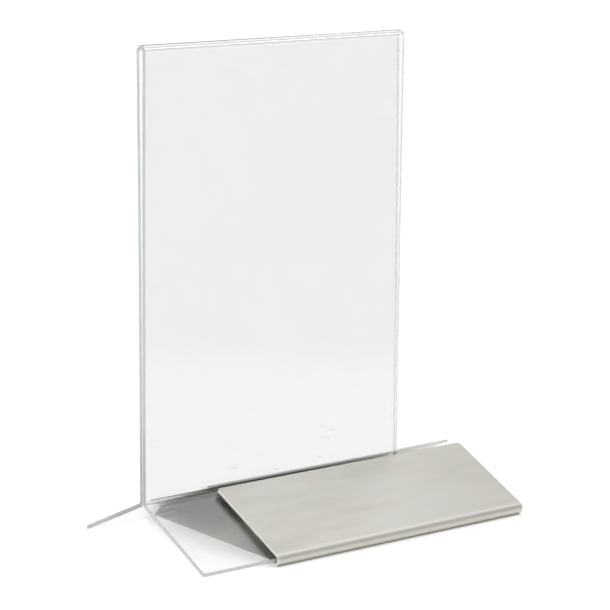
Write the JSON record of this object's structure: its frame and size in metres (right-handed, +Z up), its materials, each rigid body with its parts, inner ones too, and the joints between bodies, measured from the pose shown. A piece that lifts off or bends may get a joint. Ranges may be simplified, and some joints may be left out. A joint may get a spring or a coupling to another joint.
{
  "type": "sign stand",
  "caption": "Clear sign holder bent from one sheet, standing in a folded brushed-steel base; the holder slides along the base and its side-open pocket takes an A5 portrait sheet.",
  "frame": {"origin": "centre of the steel base's underside, on the surface that it stands on", "axes": "+X along the base's length, +Y to the rear, +Z up"},
  "size_m": [0.189, 0.104, 0.235],
  "materials": {
    "steel": "satin, finely brushed along the length",
    "acrylic": "clear, polished, with faint handling scratches"
  },
  "bodies": {
    "base": {"steel_base": "steel"},
    "holder": {"acrylic_holder": "acrylic"}
  },
  "joints": [
    {"name": "holder_slide", "type": "slide", "parent": "base", "child": "holder", "axis": [1, 0, 0], "range_m": [-0.115, 0.195]}
  ]
}
